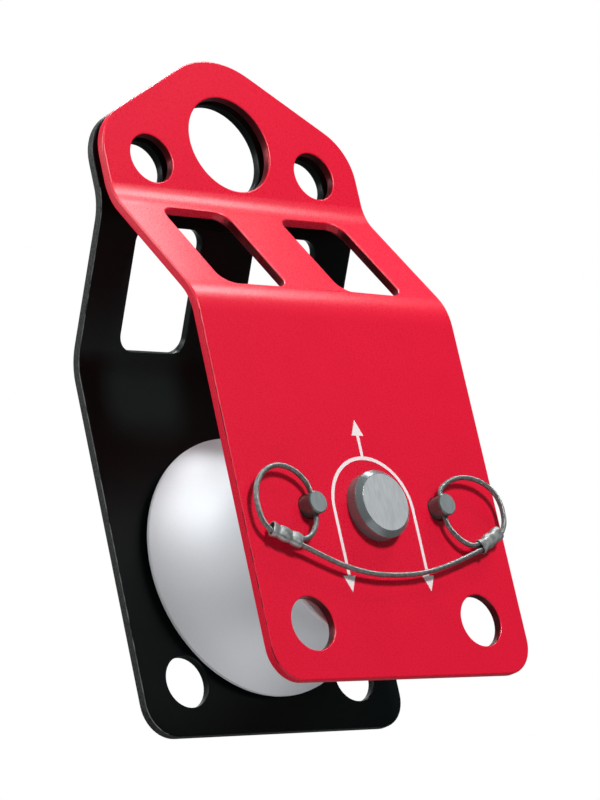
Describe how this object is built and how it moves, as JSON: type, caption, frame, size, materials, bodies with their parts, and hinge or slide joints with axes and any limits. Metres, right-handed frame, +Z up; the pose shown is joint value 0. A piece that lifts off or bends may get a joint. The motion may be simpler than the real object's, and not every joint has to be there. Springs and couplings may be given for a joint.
{
  "type": "rope pulley",
  "caption": "Knot-passing rope pulley: two joggled side plates with anchor holes and windows, a wide grooved sheave on ball bearings, and lock pins on a wire lanyard.",
  "frame": {"origin": "on the ground, midway between the two plates, straight below the axle", "axes": "+Z up towards the anchor holes, +X to the right seen from the front, front plate towards -Y, axle along Y"},
  "size_m": [0.12, 0.0836, 0.2422],
  "materials": {
    "rear_plate_finish": "black satin anodised sheet",
    "front_plate_finish": "red gloss anodised sheet",
    "bronze": "plain bearing bronze",
    "turned_steel": "turned stainless steel",
    "spacer_aluminium": "plain turned",
    "sheave_aluminium": "fine turned, satin",
    "spring_steel": "oiled spring steel",
    "pin_steel": "turned stainless steel",
    "bearing_steel": "ground and polished",
    "cage_brass": "pressed brass",
    "seal_rubber": "moulded nitrile rubber",
    "ferrule_aluminium": "crimped, bright",
    "wire_rope": "twisted stainless wire rope"
  },
  "bodies": {
    "rear_frame": {"rear_side_plate": "rear_plate_finish", "rear_plate_bush": "bronze", "axle": "turned_steel", "axle_end_nut": "turned_steel", "rear_thrust_collar": "turned_steel", "front_thrust_collar": "turned_steel", "bearing_spacer": "spacer_aluminium", "front_bearing_inner_race": "bearing_steel", "rear_bearing_inner_race": "bearing_steel"},
    "front_plate": {"front_side_plate": "front_plate_finish", "front_plate_bush": "bronze"},
    "sheave": {"sheave": "sheave_aluminium", "rear_retaining_ring": "spring_steel", "front_retaining_ring": "spring_steel", "front_bearing_outer_race": "bearing_steel", "front_bearing_outer_seal": "seal_rubber", "front_bearing_inner_seal": "seal_rubber", "rear_bearing_outer_race": "bearing_steel", "rear_bearing_outer_seal": "seal_rubber", "rear_bearing_inner_seal": "seal_rubber"},
    "front_ball_cage": {"front_bearing_balls": "bearing_steel", "front_bearing_cage": "cage_brass"},
    "rear_ball_cage": {"rear_bearing_balls": "bearing_steel", "rear_bearing_cage": "cage_brass"},
    "left_pin": {"left_lock_pin": "pin_steel", "left_detent_ball": "bearing_steel", "left_detent_spring": "spring_steel", "left_ferrule": "ferrule_aluminium", "left_lanyard": "wire_rope"},
    "right_pin": {"right_lock_pin": "pin_steel", "right_detent_ball": "bearing_steel", "right_detent_spring": "spring_steel", "right_ferrule": "ferrule_aluminium", "right_lanyard": "wire_rope"}
  },
  "joints": [
    {"name": "front_plate_swing", "type": "hinge", "parent": "rear_frame", "child": "front_plate", "pos_m": [0, 0, 0.06], "axis": [0, 1, 0], "continuous": true},
    {"name": "sheave_spin", "type": "hinge", "parent": "rear_frame", "child": "sheave", "pos_m": [0, 0, 0.06], "axis": [0, 1, 0], "continuous": true},
    {"name": "front_cage_spin", "type": "hinge", "parent": "rear_frame", "child": "front_ball_cage", "pos_m": [0, 0, 0.06], "axis": [0, 1, 0], "continuous": true},
    {"name": "rear_cage_spin", "type": "hinge", "parent": "rear_frame", "child": "rear_ball_cage", "pos_m": [0, 0, 0.06], "axis": [0, 1, 0], "continuous": true},
    {"name": "left_pin_slide", "type": "slide", "parent": "front_plate", "child": "left_pin", "axis": [0, -1, 0], "range_m": [0, 0.022], "deforming": ["left_lanyard"]},
    {"name": "right_pin_slide", "type": "slide", "parent": "front_plate", "child": "right_pin", "axis": [0, -1, 0], "range_m": [0, 0.022], "deforming": ["right_lanyard"]}
  ]
}
